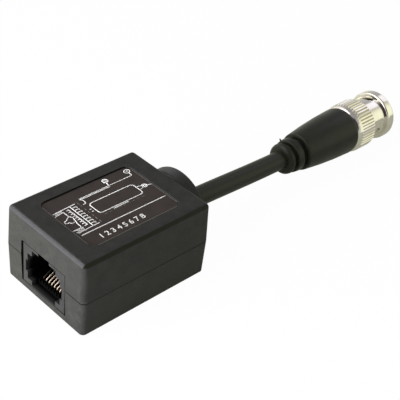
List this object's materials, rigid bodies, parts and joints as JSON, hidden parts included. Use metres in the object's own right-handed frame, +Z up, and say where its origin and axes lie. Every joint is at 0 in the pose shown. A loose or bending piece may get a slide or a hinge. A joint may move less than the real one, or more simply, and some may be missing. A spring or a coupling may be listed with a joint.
{
  "type": "cctv video balun",
  "caption": "Small black housing with a modular socket at one end and a short coax pigtail ending in a bayonet plug, which passes camera video along twisted-pair cable.",
  "frame": {"origin": "on the base plane, under the middle of the housing with its cable boss", "axes": "+X from the socket end to the cable end, +Z up from the base, +Y to the housing's left when seen from the cable end"},
  "size_m": [0.1234, 0.0288, 0.0206],
  "materials": {
    "housing_plastic": "fine matte texture",
    "label_film": "printed film",
    "socket_plastic": "satin",
    "comb_plastic": "satin",
    "gold": "gold plated",
    "board": "solder mask",
    "ferrite": "sintered",
    "enamelled_wire": "enamel",
    "cable_rubber": "smooth",
    "boot_rubber": "satin",
    "dielectric": "natural",
    "copper": "bare",
    "nickel": "bright nickel",
    "sealing_rubber": "matte"
  },
  "bodies": {
    "adapter": {"lower_shell": "housing_plastic", "upper_shell": "housing_plastic", "label": "label_film", "jack_housing": "socket_plastic", "contact_comb": "comb_plastic", "contact_1": "gold", "contact_2": "gold", "contact_3": "gold", "contact_4": "gold", "contact_5": "gold", "contact_6": "gold", "contact_7": "gold", "contact_8": "gold", "circuit_board": "board", "balun_core": "ferrite", "winding_a": "enamelled_wire", "winding_b": "enamelled_wire", "cable_collar": "comb_plastic", "cable_dielectric": "dielectric", "cable_wire": "copper", "cable": "cable_rubber", "boot": "boot_rubber", "crimp_ferrule": "nickel", "plug_body": "nickel", "insulator": "dielectric", "inner_insulation": "dielectric", "centre_pin": "gold", "gasket": "sealing_rubber", "wave_washer": "nickel"},
    "nut_carrier": {"thrust_washer": "nickel"},
    "nut": {"coupling_nut": "nickel"}
  },
  "joints": [
    {"name": "nut_travel", "type": "slide", "parent": "adapter", "child": "nut_carrier", "axis": [0.9993, 0.0279, -0.0265], "range_m": [0, 0.0008], "stiffness_N_per_m": 1500},
    {"name": "nut_turn", "type": "hinge", "parent": "nut_carrier", "child": "nut", "pos_m": [0.10222, 0.00133, 0.00711], "axis": [0.9993, 0.0279, -0.0265], "continuous": true}
  ]
}
